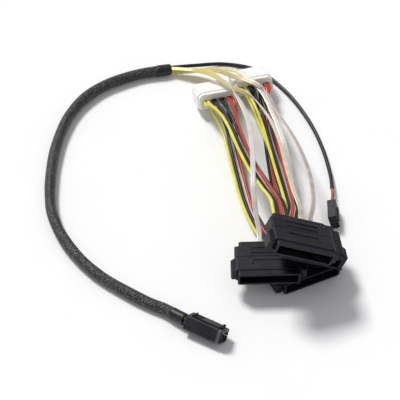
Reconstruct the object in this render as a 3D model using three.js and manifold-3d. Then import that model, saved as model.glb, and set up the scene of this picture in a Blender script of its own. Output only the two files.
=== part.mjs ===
// Mini SAS breakout cable: a high-density plug, a braided trunk, and a fan of four drive connectors with
// two power connectors and a sideband connector. Millimetres, +Z up, standing on the table at z = 0.
import * as THREE from "three";
import { mergeVertices } from "three/addons/utils/BufferGeometryUtils.js";
import Module from "manifold-3d";

const wasm = await Module();
wasm.setup();

// Driving dimensions
const TOUCH = 0.3; // gap between pieces that touch
const DEG = Math.PI / 180;

const SLEEVE = { outer: 7.0, wall: 0.34, sides: 12, steps: 26 };
const SHRINK = { outer: 7.6, bore: 6.3, sides: 16, plugLength: 10, breakoutLength: 9 };
const RIBBON = { width: 3.2, thickness: 0.85, gap: 0.12, count: 4, fanSteps: 18 };
const SIDEBAND = { diameter: 2.0, gap: 0.12, sides: 8, fanSteps: 22, wire: 0.75, wireRing: 0.5, wireSteps: 6 };
const POWER_WIRE = { diameter: 1.9, sides: 8, steps: 16, bore: 2.6, seat: 2.0, straight: 5.5 };

const DRIVE = {
  width: 38.3, length: 26.8, thickness: 9, corner: 1.2,
  split: 1.2, // where the front housing meets the rear cover, measured from the middle
  noseWidth: 36, noseThickness: 8, noseLength: 4,
  earReach: 2.6, earFront: -10.4, earRear: 0.8, earTop: 2.4, earFoot: 0.4,
  mouthWidth: 33.4, mouthHeight: 5.6, mouthDepth: 8.5,
  tailWidth: 33, tailThickness: 7.6, tailLength: 4.2,
  barLength: 20, barWidth: 1.1, barHeight: 0.4, barHook: 3.2, frontBar: -1.6, rearBars: [4.2, 8.0],
  wireStart: -13.5, wirePitch: 2.8, ribbonAt: 4.0, ribbonPocket: [5.2, 3.2],
};
const CONTACT = { pitch: 1.27, width: 0.6, height: 0.5, length: 6, powerCount: 15, signalCount: 7, margin: 2.2 };

const POWER = {
  width: 24.6, length: 19.5, thickness: 10.7, wall: 1.6, chamfer: 2.4, step: 0.6,
  block: 8.2, collarFront: 3.2, collarLength: 8.4,
  circuits: 4, pitch: 5.08, pairPitch: 2.1, pinDiameter: 2.1, pinRecess: 1.4, pinSeat: 3,
};

const PLUG = {
  length: 23.5, width: 10.2, height: 8.8, corner: 1.1, wall: 0.9, noseLength: 3, noseStep: 0.35,
  cavityTop: 2.2, cavityBottom: -3.2, rearWall: 2.2, rearBore: 6.6,
  cardWidth: 8.0, cardThickness: 1.0, cardSpacing: 2.7, cardRecess: 1.6,
};
const LATCH = {
  front: 1.6, width: 6.2, length: 19, thickness: 1.0, proud: 0.5, drop: 0.6, pivotAt: -1.0,
  trunnion: 1.2, trunnionReach: 0.8, hook: [1.2, 1.4, 0.8],
  ridge: 0.8, ridgeRise: 0.7, dot: 0.5, dotPitch: 1.1, dotRows: 4, dotColumns: 3,
};

const SIDE_HOUSING = {
  width: 10.2, thickness: 5.1, length: 14, corner: 0.4, pitch: 2.54, hole: 1.0, holeDepth: 3, bore: 1.3, seat: 1.5,
  key: [3.0, 0.8, 9],
};

// Where each rigid sub-assembly lies: its middle, then its pitch about X, roll about Y and yaw about Z in degrees
const PLACE = {
  plug: { at: [3.6, -108.9, 6.05], turn: [0, 32, 59] },
  drive: [
    { at: [39.2, -66.0, 15.1], turn: [0, 180, 2] },
    { at: [57.0, -70.6, 39.4], turn: [-3, 23.5, 7] },
    { at: [63.1, -59.2, 24.6], turn: [0, 23.5, 8] },
    { at: [59.0, -58.4, 4.9], turn: [0, 0, 26] },
  ],
  power: [
    { at: [8.8, 85.6, 7.85], turn: [-20, 0, 15] },
    { at: [31.7, 98.0, 7.85], turn: [-20, 0, 15] },
  ],
  sideHousing: { at: [79.2, -17.2, 5.6], turn: [0, 75, 0] },
};

// The trunk's route on the table, from the heat shrink at the plug to the breakout
const TRUNK_LEVEL = 3.85;
const PLUG_SHRINK = { at: [-8.3, -101.5], heading: 142, levels: [5.2, 4.4] };
const TRUNK_ROUTE = [
  [-28.7, -87.6], [-43.2, -77.8], [-58.0, -66.0], [-70.1, -52.4], [-81.4, -33.7], [-88.1, -14.6],
  [-90.0, 0.5], [-90.2, 17.7], [-89.1, 35.1], [-86.2, 52.9], [-80.8, 71.0], [-72.6, 85.7],
  [-61.7, 96.8], [-49.2, 104.3], [-37.5, 109.2],
];
const BREAKOUT = { at: [-27.3, 111.6], heading: 12 };

// Each ribbon's route after the breakout, for drive connectors 1 to 4
const RIBBON_FAN = [
  [[-4, 108, 8], [4, 99.4, 13.6], [11.3, 90, 17.6], [18.7, 77, 21], [24, 64, 23], [29, 45, 24],
    [31.2, 14.5, 28.5], [31.2, -10, 31.8], [31.4, -22.5, 28], [33, -34.5, 20.5], [34.6, -43, 16.3]],
  [[-4, 109.5, 6.4], [6, 102.6, 11], [18.6, 82.6, 16.8], [30.8, 66, 24.6], [41.3, 41.5, 29.7], [47.2, 16.7, 34],
    [50.5, -8.8, 38], [54, -32, 40.6], [57.5, -46, 39.6]],
  [[-4, 110.8, 5], [8, 105.5, 10.6], [22, 90.5, 18], [38.4, 76.5, 21.4], [46.9, 55.5, 20.8], [54.3, 38, 21.7],
    [60.4, 19.5, 22.8], [65.5, -5, 23.7], [66.3, -27, 24]],
  [[-4, 112, 3.7], [9, 108, 9], [23, 97.5, 16.6], [37, 78, 19.2], [46, 52, 18], [50.5, 34, 17], [52.8, 22, 15],
    [55.5, -2, 8.8], [54.6, -16, 6.6], [52.4, -28, 5.3]],
];

// The sideband cable lies outside the fan, on the table, and ends in three short wires
const SIDEBAND_FAN = [
  [-3, 118, 3], [16, 121, 1.4], [35.5, 115.6, 1.3], [52.8, 97, 1.3], [67.5, 68.6, 1.3], [75.5, 42, 1.3],
  [79.3, 17.1, 2.0], [79.4, 11, 3.2],
];
const SIDEBAND_END = [79.4, 5.0, 4.6];

// Power wires run in loose flat rows of four. Each station gives the row's middle, the pitch of its wires and
// how far the row has turned about its run, in degrees
const ROWS = [
  { housing: 0, side: -1, drive: 1, stations: [
    [12.6, 68, 15.6, 4.9, 0], [17, 57.5, 17.4, 3.3, -4], [20.6, 46, 17.6, 2.5, -6], [26, 26, 19, 2.2, 6],
    [32.5, 2, 24, 2.2, 8], [39.5, -22, 32, 2.4, -8], [44.5, -41, 40, 2.6, -18]] },
  { housing: 1, side: -1, drive: 0, stations: [
    [36, 76, 10.5, 3.4, 0], [38.5, 58, 7.5, 2.4, -40], [41.5, 36, 7.4, 2.2, -85], [45, 10, 9.4, 2.2, -130],
    [48, -16, 12.4, 2.4, -168], [49, -36, 15, 2.7, -180]] },
  { housing: 1, side: 1, drive: 2, stations: [
    [36.5, 76, 14.5, 3.6, 0], [40.5, 58, 14, 2.5, 8], [44, 36, 14.2, 2.2, -4], [48.5, 8, 17, 2.2, 4],
    [52, -18, 22.5, 2.3, -10], [53.2, -32, 27, 2.6, -20]] },
  { housing: 0, side: 1, drive: 3, stations: [
    [14.8, 67, 11.2, 4.9, 0], [17.8, 56, 7.6, 3.3, 6], [20, 42, 4.6, 2.5, 8], [23.5, 20, 3.6, 2.3, 4],
    [28.5, -6, 3.2, 2.3, 0], [34, -24, 3.6, 2.4, 0], [39.5, -37, 4.6, 2.7, 0]] },
];
const WIRES = [
  { name: "yellow", finish: "yellow", slot: 0, drift: 0.1, rise: 0.2 },
  { name: "black_a", finish: "wireBlack", slot: 1, drift: -0.1, rise: 0 },
  { name: "red", finish: "red", slot: 3, drift: 0, rise: 1.2 },
  { name: "black_b", finish: "wireBlack", slot: 2, drift: 0, rise: -1.2 },
]; // slot counts across the power housing: yellow, black, black, red

const FINISH = {
  black: { color: 0x23232b, roughness: 0.45, metalness: 0 },
  shell: { color: 0x2a2930, roughness: 0.4, metalness: 0 },
  braid: { color: 0x2f2e31, roughness: 0.8, metalness: 0 },
  shrink: { color: 0x1f1e22, roughness: 0.5, metalness: 0 },
  nylon: { color: 0xe9e9dc, roughness: 0.45, metalness: 0 },
  brass: { color: 0xd6c37c, roughness: 0.3, metalness: 1 },
  board: { color: 0x2f5a3a, roughness: 0.5, metalness: 0 },
  data: { color: 0xd8d0c0, roughness: 0.4, metalness: 0 },
  yellow: { color: 0xe6d23c, roughness: 0.4, metalness: 0 },
  red: { color: 0xb5321f, roughness: 0.4, metalness: 0 },
  wireBlack: { color: 0x1c1a1a, roughness: 0.4, metalness: 0 },
  copper: { color: 0x9a5a2c, roughness: 0.45, metalness: 0 },
};

const cable = new THREE.Group();
cable.name = "mini_sas_breakout_cable";

// Geometry helpers

function mesh(name, geometry, finish, parent) {
  const piece = new THREE.Mesh(geometry, new THREE.MeshStandardMaterial(FINISH[finish]));
  piece.name = name;
  parent.add(piece);
  return piece;
}

function solid(geometry) {
  const bare = geometry.clone();
  bare.deleteAttribute("normal");
  bare.deleteAttribute("uv");
  const merged = mergeVertices(bare, 1e-4);
  const vertProperties = new Float32Array(merged.attributes.position.array);
  return new wasm.Manifold(new wasm.Mesh({ numProp: 3, vertProperties, triVerts: new Uint32Array(merged.index.array) }));
}

function shapeOf(body) {
  const result = body.getMesh();
  const geometry = new THREE.BufferGeometry();
  geometry.setAttribute("position", new THREE.BufferAttribute(result.vertProperties, result.numProp));
  geometry.setIndex(new THREE.BufferAttribute(result.triVerts, 1));
  return geometry;
}

function carve(base, adds, cuts) {
  let body = solid(base);
  for (const part of adds) body = body.add(solid(part));
  for (const part of cuts) body = body.subtract(solid(part));
  return shapeOf(body);
}

// A box given by its size and middle
function box(sx, sy, sz, x, y, z) {
  return new THREE.BoxGeometry(sx, sy, sz).translate(x, y, z);
}

// An outline across X and Z, rounded at its corners, drawn along Y from front to rear
function bar(width, height, corner, front, rear, level = 0) {
  const w = width / 2 - corner;
  const h = height / 2 - corner;
  const outline = new THREE.Shape();
  outline.moveTo(-w, -height / 2);
  outline.lineTo(w, -height / 2);
  outline.absarc(w, -h, corner, -Math.PI / 2, 0);
  outline.absarc(w, h, corner, 0, Math.PI / 2);
  outline.absarc(-w, h, corner, Math.PI / 2, Math.PI);
  outline.absarc(-w, -h, corner, Math.PI, Math.PI * 1.5);
  outline.closePath();
  return along(outline, front, rear, level, 2);
}

// Draws an X and Z outline along Y
function along(outline, front, rear, level = 0, curveSegments = 2) {
  const geometry = new THREE.ExtrudeGeometry(outline, { depth: rear - front, bevelEnabled: false, curveSegments });
  return geometry.rotateX(Math.PI / 2).translate(0, rear, level);
}

// A round bore or pin along Y
function rod(diameter, front, rear, x, z, sides = 10) {
  const geometry = new THREE.CylinderGeometry(diameter / 2, diameter / 2, rear - front, sides);
  return geometry.translate(x, (front + rear) / 2, z);
}

// A place in the world as a group whose own axes are the sub-assembly's
function placed(place) {
  const group = new THREE.Group();
  group.position.set(...place.at);
  group.rotation.set(...place.turn.map((angle) => angle * DEG), "ZYX");
  cable.add(group);
  group.updateMatrixWorld(true);
  return group;
}

function toWorld(group, x, y, z) {
  return group.localToWorld(new THREE.Vector3(x, y, z));
}

// A path through stations that are given one by one, so pieces that share stations never cross
class Route extends THREE.Curve {
  constructor(stations) {
    super();
    this.stations = stations;
  }

  getPoint(t, target = new THREE.Vector3()) {
    const at = Math.min(t, 1) * (this.stations.length - 1);
    const first = Math.min(Math.floor(at + 1e-6), this.stations.length - 2);
    return target.lerpVectors(this.stations[first], this.stations[first + 1], at - first);
  }

  getPointAt(t, target) {
    return this.getPoint(t, target);
  }

  getTangent(t, target = new THREE.Vector3()) {
    const at = Math.round(t * (this.stations.length - 1));
    const before = this.stations[Math.max(at - 1, 0)];
    const after = this.stations[Math.min(at + 1, this.stations.length - 1)];
    return target.subVectors(after, before).normalize();
  }

  getTangentAt(t, target) {
    return this.getTangent(t, target);
  }
}

// A section swept through stations
function sweep(section, stations) {
  const path = new Route(stations);
  return new THREE.ExtrudeGeometry(section, { steps: stations.length - 1, extrudePath: path, curveSegments: 1 });
}

// Evenly spaced stations on a smooth curve through points chosen by hand
function smooth(points, steps) {
  const curve = new THREE.CatmullRomCurve3(points, false, "centripetal");
  curve.arcLengthDivisions = 400;
  return curve.getSpacedPoints(steps);
}

// A round section with flat sides
function roundSection(diameter, sides) {
  const corners = [];
  for (let i = 0; i < sides; i += 1) {
    const angle = ((i + 0.5) / sides) * Math.PI * 2;
    corners.push(new THREE.Vector2(Math.cos(angle), Math.sin(angle)).multiplyScalar(diameter / 2));
  }
  return new THREE.Shape(corners);
}

// The flat section of a data ribbon: X is its thickness and Y its width
function ribbonSection() {
  const t = RIBBON.thickness / 2;
  const w = RIBBON.width / 2;
  const corners = [[t, w - t], [t / 2, w], [-t / 2, w], [-t, w - t], [-t, t - w], [-t / 2, -w], [t / 2, -w], [t, t - w]];
  return new THREE.Shape(corners.map(([x, y]) => new THREE.Vector2(x, y)));
}

// Drive connectors

// Ribs of the contact combs on the floor of the mouth: power on the left, signals on the right
function contactRibs() {
  const inner = -DRIVE.length / 2 + DRIVE.mouthDepth;
  const edge = DRIVE.mouthWidth / 2 - CONTACT.margin;
  const sunk = 0.3; // how far a rib roots in the floor and the back of the mouth
  const places = [];
  for (let i = 0; i < CONTACT.powerCount; i += 1) places.push(-edge + i * CONTACT.pitch);
  for (let i = 0; i < CONTACT.signalCount; i += 1) places.push(edge - i * CONTACT.pitch);
  return places.map((x) => box(CONTACT.width, CONTACT.length + sunk, CONTACT.height + sunk, x,
    inner - (CONTACT.length - sunk) / 2, (CONTACT.height - sunk - DRIVE.mouthHeight) / 2));
}

// One side guide: a flange whose rear end is bevelled back to the body
function guideEar(side) {
  const root = DRIVE.width / 2 - 0.6;
  const reach = DRIVE.width / 2 + DRIVE.earReach;
  const plan = new THREE.Shape([
    [root, DRIVE.earFront], [reach - 0.6, DRIVE.earFront], [reach, DRIVE.earFront + 0.8],
    [reach, DRIVE.earRear - DRIVE.earReach], [root, DRIVE.earRear],
  ].map(([x, y]) => new THREE.Vector2(side * x, y)));
  const foot = DRIVE.earFoot - DRIVE.thickness / 2;
  return new THREE.ExtrudeGeometry(plan, { depth: DRIVE.earTop - foot, bevelEnabled: false }).translate(0, 0, foot);
}

// A raised grip bar on the upper or lower face
function gripBar(y, face) {
  const root = 0.3;
  const z = face * (DRIVE.thickness + DRIVE.barHeight - root) / 2;
  return box(DRIVE.barLength, DRIVE.barWidth, DRIVE.barHeight + root, 0, y, z);
}

// The hook that turns forward at the right end of the front bar
function barHook(face) {
  const root = 0.3;
  const x = (DRIVE.barLength - DRIVE.barWidth) / 2;
  const z = face * (DRIVE.thickness + DRIVE.barHeight - root) / 2;
  return box(DRIVE.barWidth, DRIVE.barHook, DRIVE.barHeight + root, x, DRIVE.frontBar - DRIVE.barHook / 2, z);
}

// The moulded front: stepped nose, bevelled guides, mouth with its contact combs, front grip bar
function driveHousingGeometry() {
  const front = -DRIVE.length / 2;
  const step = front + DRIVE.noseLength;
  const mouthRun = DRIVE.mouthDepth + 1;
  const adds = [bar(DRIVE.noseWidth, DRIVE.noseThickness, DRIVE.corner, front, step + 0.5)];
  for (const side of [-1, 1]) adds.push(guideEar(side), gripBar(DRIVE.frontBar, side), barHook(side));
  const mouth = box(DRIVE.mouthWidth, mouthRun, DRIVE.mouthHeight, 0, front + DRIVE.mouthDepth - mouthRun / 2, 0);
  const body = bar(DRIVE.width, DRIVE.thickness, DRIVE.corner, step, DRIVE.split - TOUCH / 2);
  return carve(carve(body, adds, [mouth]), contactRibs(), []);
}

// The rear cover: narrower tail, grip bars on both faces, wire bores and a pocket for the ribbon
function driveCoverGeometry() {
  const rear = DRIVE.length / 2;
  const shoulder = rear - DRIVE.tailLength;
  const adds = [bar(DRIVE.tailWidth, DRIVE.tailThickness, DRIVE.corner, shoulder - 0.5, rear)];
  for (const y of DRIVE.rearBars) adds.push(gripBar(y, 1), gripBar(y, -1));
  const [pocketWidth, pocketHeight] = DRIVE.ribbonPocket;
  const pocketRun = POWER_WIRE.seat + 1;
  const cuts = [box(pocketWidth, pocketRun, pocketHeight, DRIVE.ribbonAt, rear + 1 - pocketRun / 2, 0)];
  for (let i = 0; i < WIRES.length; i += 1) {
    cuts.push(rod(POWER_WIRE.bore, rear - POWER_WIRE.seat, rear + 1, driveWireX(i), 0));
  }
  return carve(bar(DRIVE.width, DRIVE.thickness, DRIVE.corner, DRIVE.split + TOUCH / 2, shoulder), adds, cuts);
}

function driveWireX(slot) {
  return DRIVE.wireStart + slot * DRIVE.wirePitch;
}

function addDriveConnector(number, place) {
  const group = placed(place);
  mesh(`drive_connector_${number}_housing`, driveHousingGeometry(), "black", group);
  mesh(`drive_connector_${number}_cover`, driveCoverGeometry(), "black", group);
  return group;
}

// Power connectors: the wires leave at -Y and the hood opens at +Y

function hoodOutline(inset) {
  const w = POWER.width / 2 - inset;
  const h = POWER.thickness / 2 - inset;
  const c = POWER.chamfer - inset / 2;
  return new THREE.Shape([[-w, -h], [w, -h], [w, h - c], [w - c, h], [c - w, h], [-w, h - c]]
    .map(([x, z]) => new THREE.Vector2(x, z)));
}

function circuitX(circuit) {
  return (circuit - (POWER.circuits - 1) / 2) * POWER.pitch;
}

// A round-ended bore that takes the two wires of one circuit
function pairBore(x, rear) {
  const depth = rear + POWER_WIRE.seat;
  const bores = [-1, 1].map((side) => rod(POWER_WIRE.bore, rear - 1, depth, x + (side * POWER.pairPitch) / 2, 0));
  const bridge = box(POWER.pairPitch, POWER_WIRE.seat + 1, POWER_WIRE.bore * 0.9, x, (rear - 1 + depth) / 2, 0);
  return carve(bores[0], [bores[1], bridge], []);
}

// The nylon housing: a block with wire bores behind, a collar, and a hood round the pins with two cut corners
function powerHousingGeometry() {
  const rear = -POWER.length / 2;
  const floor = rear + POWER.block;
  const collar = rear + POWER.collarFront;
  const adds = [along(hoodOutline(0), collar, collar + POWER.collarLength)];
  const cuts = [along(hoodOutline(POWER.step + POWER.wall), floor, POWER.length / 2 + 1)];
  for (let i = 0; i < POWER.circuits; i += 1) {
    cuts.push(pairBore(circuitX(i), rear));
    cuts.push(rod(POWER.pinDiameter + 2 * TOUCH, floor - POWER.pinSeat, floor + 1, circuitX(i), 0));
  }
  return carve(along(hoodOutline(POWER.step), rear, POWER.length / 2), adds, cuts);
}

// A turned pin with a tapered tip, seated in the housing's block
function powerPinGeometry() {
  const root = -POWER.length / 2 + POWER.block - POWER.pinSeat + TOUCH;
  const tip = POWER.length / 2 - POWER.pinRecess;
  const r = POWER.pinDiameter / 2;
  const profile = [[0, root], [r, root], [r, tip - 1.8], [r * 0.55, tip - 0.3], [0, tip]];
  return new THREE.LatheGeometry(profile.map(([x, y]) => new THREE.Vector2(x, y)), 10);
}

function addPowerConnector(number, place) {
  const group = placed(place);
  mesh(`power_housing_${number}`, powerHousingGeometry(), "nylon", group);
  for (let i = 0; i < POWER.circuits; i += 1) {
    mesh(`power_pin_${number}_${i + 1}`, powerPinGeometry(), "brass", group).position.x = circuitX(i);
  }
  return group;
}

// High-density plug: the nose is at -Y, the cable leaves at +Y and the lever lies on top

const cardMiddle = (PLUG.cavityTop + PLUG.cavityBottom) / 2;
const plugFront = -PLUG.length / 2;
const plugRear = PLUG.length / 2;
const trayFront = plugFront + LATCH.front;
const trayRear = trayFront + LATCH.length + 2 * TOUCH;
const leverTop = PLUG.height / 2 + LATCH.proud;
const leverBottom = leverTop - LATCH.thickness;
const pivotLevel = (leverTop + leverBottom) / 2;

// The tray for the lever, deeper behind the pivot where the lever is pressed, with a notch at each trunnion
function latchTray() {
  const width = LATCH.width + 2 * TOUCH;
  const floor = leverBottom - TOUCH;
  const headroom = 3;
  const reach = width + 2 * LATCH.trunnionReach;
  const notch = LATCH.trunnion + 2 * TOUCH;
  const pressFloor = floor - LATCH.drop;
  return [
    box(width, trayRear - trayFront, headroom, 0, (trayFront + trayRear) / 2, floor + headroom / 2),
    box(width, trayRear - LATCH.pivotAt, headroom, 0, (trayRear + LATCH.pivotAt) / 2, pressFloor + headroom / 2),
    box(reach, notch, headroom, 0, LATCH.pivotAt, pivotLevel - notch / 2 + headroom / 2),
  ];
}

// One half of the moulded shell, split level with the middle of the cards
function plugShellGeometry(half) {
  const noseRear = plugFront + PLUG.noseLength;
  const nose = bar(PLUG.width - 2 * PLUG.noseStep, PLUG.height - 2 * PLUG.noseStep, PLUG.corner, plugFront, noseRear + 0.5);
  const cavityHeight = PLUG.cavityTop - PLUG.cavityBottom;
  const cavityRun = PLUG.length - PLUG.rearWall + 1;
  const cuts = [
    box(PLUG.width - 2 * PLUG.wall, cavityRun, cavityHeight, 0, plugRear - PLUG.rearWall - cavityRun / 2, cardMiddle),
    rod(PLUG.rearBore, plugRear - PLUG.rearWall - 1, plugRear + 1, 0, cardMiddle, 12),
  ];
  if (half > 0) cuts.push(...latchTray());
  const keep = box(PLUG.width * 2, PLUG.length * 2, PLUG.height * 2, 0, 0,
    cardMiddle + half * (PLUG.height + TOUCH / 2));
  const whole = carve(bar(PLUG.width, PLUG.height, PLUG.corner, noseRear, plugRear), [nose], cuts);
  return shapeOf(solid(whole).intersect(solid(keep)));
}

function cardGeometry(half) {
  const front = plugFront + PLUG.cardRecess;
  const rear = plugRear - PLUG.rearWall - TOUCH;
  return box(PLUG.cardWidth, rear - front, PLUG.cardThickness, 0, (front + rear) / 2,
    cardMiddle + (half * PLUG.cardSpacing) / 2);
}

// The lever: a plate with two trunnions, two hooks at the nose, and grip dots and a ridge at the thumb end
function latchGeometry() {
  const front = trayFront + TOUCH;
  const rear = front + LATCH.length;
  const root = 0.2;
  const trunnions = rod(LATCH.trunnion, -LATCH.width / 2 - LATCH.trunnionReach + TOUCH,
    LATCH.width / 2 + LATCH.trunnionReach - TOUCH, 0, 0, 8);
  trunnions.rotateZ(Math.PI / 2).translate(0, LATCH.pivotAt, pivotLevel);
  const [hookWidth, hookLength, hookRise] = LATCH.hook;
  const adds = [
    trunnions,
    box(LATCH.width, LATCH.ridge, LATCH.ridgeRise + root, 0, rear - LATCH.ridge / 2,
      leverTop + (LATCH.ridgeRise - root) / 2),
  ];
  for (const side of [-1, 1]) {
    adds.push(box(hookWidth, hookLength, hookRise + root, (side * (LATCH.width - hookWidth)) / 2,
      front + hookLength / 2, leverTop + (hookRise - root) / 2));
  }
  for (let row = 0; row < LATCH.dotRows; row += 1) {
    for (let column = 0; column < LATCH.dotColumns; column += 1) {
      const x = (column - (LATCH.dotColumns - 1) / 2) * LATCH.dotPitch * 1.4;
      const y = rear - LATCH.ridge - (row + 1) * LATCH.dotPitch;
      adds.push(box(LATCH.dot, LATCH.dot, LATCH.dot, x, y, leverTop + LATCH.dot / 2 - root));
    }
  }
  const plate = box(LATCH.width, LATCH.length, LATCH.thickness, 0, (front + rear) / 2, pivotLevel);
  return carve(plate, adds, []);
}

function addPlug() {
  const group = placed(PLACE.plug);
  mesh("hd_plug_upper_shell", plugShellGeometry(1), "shell", group);
  mesh("hd_plug_lower_shell", plugShellGeometry(-1), "shell", group);
  mesh("hd_plug_upper_card", cardGeometry(1), "board", group);
  mesh("hd_plug_lower_card", cardGeometry(-1), "board", group);
  mesh("hd_plug_latch", latchGeometry(), "black", group);
  return group;
}

// Sideband housing: two rows of four square holes in front, three wire bores behind

function sideHousingGeometry() {
  const front = -SIDE_HOUSING.length / 2;
  const rear = SIDE_HOUSING.length / 2;
  const cuts = [];
  for (let column = 0; column < 4; column += 1) {
    for (const row of [-0.5, 0.5]) {
      cuts.push(box(SIDE_HOUSING.hole, SIDE_HOUSING.holeDepth + 1, SIDE_HOUSING.hole,
        (column - 1.5) * SIDE_HOUSING.pitch, front + (SIDE_HOUSING.holeDepth - 1) / 2, row * SIDE_HOUSING.pitch));
    }
  }
  for (const step of [-1, 0, 1]) {
    cuts.push(rod(SIDE_HOUSING.bore, rear - SIDE_HOUSING.seat, rear + 1, step * SIDE_HOUSING.pitch, 0));
  }
  const [keyWidth, keyRise, keyLength] = SIDE_HOUSING.key;
  const key = box(keyWidth, keyLength, keyRise + 0.3, 0, front + keyLength / 2 + 1.5,
    (SIDE_HOUSING.thickness + keyRise - 0.3) / 2);
  return carve(bar(SIDE_HOUSING.width, SIDE_HOUSING.thickness, SIDE_HOUSING.corner, front, rear), [key], cuts);
}

// The trunk

// Half the height of the ribbon stack, how far its outer edge lies from the trunk's middle, and the radius of
// the circle that ribbons and sideband cable fill together
const stackHalf = (RIBBON.count * RIBBON.thickness + (RIBBON.count - 1) * RIBBON.gap) / 2;
const fill = RIBBON.width + SIDEBAND.gap + SIDEBAND.diameter;
const stackEdge = (fill * fill - stackHalf * stackHalf) / (2 * fill);
const fillRadius = fill - stackEdge;
const ribbonShift = RIBBON.width / 2 - stackEdge;
const sidebandShift = fillRadius - SIDEBAND.diameter / 2;

function ribbonLift(number) {
  return stackHalf - RIBBON.thickness / 2 - (number - 1) * (RIBBON.thickness + RIBBON.gap);
}

// A level direction, in degrees from +X
function headingOf(angle) {
  return new THREE.Vector3(Math.cos(angle * DEG), Math.sin(angle * DEG), 0);
}

// Stations of the trunk's middle line, from inside the plug's rear wall to the end of the breakout shrink
function trunkStations(plug) {
  const exit = toWorld(plug, 0, plugRear, cardMiddle);
  const inside = toWorld(plug, 0, plugRear - PLUG.rearWall, cardMiddle);
  const shrinkStart = new THREE.Vector3(...PLUG_SHRINK.at, PLUG_SHRINK.levels[0]);
  const shrinkEnd = shrinkStart.clone().addScaledVector(headingOf(PLUG_SHRINK.heading), SHRINK.plugLength);
  shrinkEnd.z = PLUG_SHRINK.levels[1];
  const away = new THREE.Vector3().subVectors(shrinkEnd, shrinkStart).normalize();
  const heading = headingOf(BREAKOUT.heading);
  const breakoutStart = new THREE.Vector3(...BREAKOUT.at, TRUNK_LEVEL);
  const breakoutEnd = breakoutStart.clone().addScaledVector(heading, SHRINK.breakoutLength);
  const sleeve = smooth([
    shrinkEnd.clone().addScaledVector(away, TOUCH),
    shrinkEnd.clone().addScaledVector(away, SHRINK.outer * 0.75),
    ...TRUNK_ROUTE.map(([x, y]) => new THREE.Vector3(x, y, TRUNK_LEVEL)),
    breakoutStart.clone().addScaledVector(heading, -TOUCH),
  ], SLEEVE.steps);
  return { inside, exit, shrinkStart, shrinkEnd, sleeve, breakoutStart, breakoutEnd };
}

// Stations shifted sideways and up from the trunk's middle line
function beside(middle, shift, lift) {
  return middle.map((point, i) => {
    const run = new THREE.Vector3().subVectors(middle[Math.min(i + 1, middle.length - 1)], middle[Math.max(i - 1, 0)]);
    const side = new THREE.Vector3(-run.y, run.x, 0).normalize();
    return point.clone().addScaledVector(side, shift).add(new THREE.Vector3(0, 0, lift));
  });
}

// A straight hollow tube between two points
function tubeBetween(start, end, outer, bore, sides) {
  const length = start.distanceTo(end);
  const profile = [[bore, 0], [outer, 0], [outer, length], [bore, length], [bore, 0]];
  const geometry = new THREE.LatheGeometry(profile.map(([d, y]) => new THREE.Vector2(d / 2, y)), sides);
  const turn = new THREE.Quaternion().setFromUnitVectors(new THREE.Vector3(0, 1, 0),
    new THREE.Vector3().subVectors(end, start).normalize());
  return geometry.applyQuaternion(turn).translate(start.x, start.y, start.z);
}

function sleeveSection() {
  const section = roundSection(SLEEVE.outer, SLEEVE.sides);
  section.holes.push(roundSection(SLEEVE.outer - 2 * SLEEVE.wall, SLEEVE.sides));
  return section;
}

function addTrunk(trunk) {
  mesh("trunk_plug_shrink", tubeBetween(trunk.shrinkStart, trunk.shrinkEnd, SHRINK.outer, SHRINK.bore, SHRINK.sides),
    "shrink", cable);
  mesh("trunk_sleeve", sweep(sleeveSection(), trunk.sleeve), "braid", cable);
  mesh("trunk_breakout_shrink",
    tubeBetween(trunk.breakoutStart, trunk.breakoutEnd, SHRINK.outer, SHRINK.bore, SHRINK.sides), "shrink", cable);
}

// Stations of everything that runs through the trunk, before it is shifted to its own place in there
function throughTrunk(trunk) {
  return [trunk.inside, trunk.exit, trunk.shrinkStart, trunk.shrinkEnd, ...trunk.sleeve, trunk.breakoutStart,
    trunk.breakoutEnd];
}

function points(list) {
  return list.map((point) => new THREE.Vector3(...point));
}

// A data ribbon from the paddle cards to its drive connector
function addRibbon(number, trunk, drive) {
  const inner = beside(throughTrunk(trunk), ribbonShift, ribbonLift(number));
  const fan = smooth([
    inner[inner.length - 1],
    ...points(RIBBON_FAN[number - 1]),
    toWorld(drive, DRIVE.ribbonAt, DRIVE.length / 2 + POWER_WIRE.straight, 0),
    toWorld(drive, DRIVE.ribbonAt, DRIVE.length / 2 - POWER_WIRE.seat + TOUCH, 0),
  ], RIBBON.fanSteps);
  mesh(`data_ribbon_${number}`, sweep(ribbonSection(), [...inner, ...fan.slice(1)]), "data", cable);
}

// The sideband cable and its three wires
function addSideband(trunk) {
  const group = placed(PLACE.sideHousing);
  mesh("sideband_housing", sideHousingGeometry(), "black", group);
  const inner = beside(throughTrunk(trunk), sidebandShift, 0);
  const end = new THREE.Vector3(...SIDEBAND_END);
  const fan = smooth([inner[inner.length - 1], ...points(SIDEBAND_FAN), end], SIDEBAND.fanSteps);
  const section = roundSection(SIDEBAND.diameter, SIDEBAND.sides);
  mesh("sideband_cable", sweep(section, [...inner, ...fan.slice(1)]), "black", cable);
  const away = new THREE.Vector3().subVectors(end, new THREE.Vector3(...SIDEBAND_FAN[SIDEBAND_FAN.length - 1])).normalize();
  const rear = SIDE_HOUSING.length / 2;
  for (let i = 0; i < 3; i += 1) {
    const angle = (90 + i * 120) * DEG;
    const ring = new THREE.Vector3(Math.cos(angle), 0, Math.sin(angle)).multiplyScalar(SIDEBAND.wireRing);
    const start = end.clone().addScaledVector(away, TOUCH).add(ring);
    const x = [-1, 0, 1][i] * SIDE_HOUSING.pitch;
    const stations = smooth([start, start.clone().addScaledVector(away, 2), toWorld(group, x, rear + 3, 0),
      toWorld(group, x, rear - SIDE_HOUSING.seat + TOUCH, 0)], SIDEBAND.wireSteps);
    mesh(`sideband_wire_${i + 1}`, sweep(roundSection(SIDEBAND.wire, SIDEBAND.sides), stations), "copper", cable);
  }
}

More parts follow.
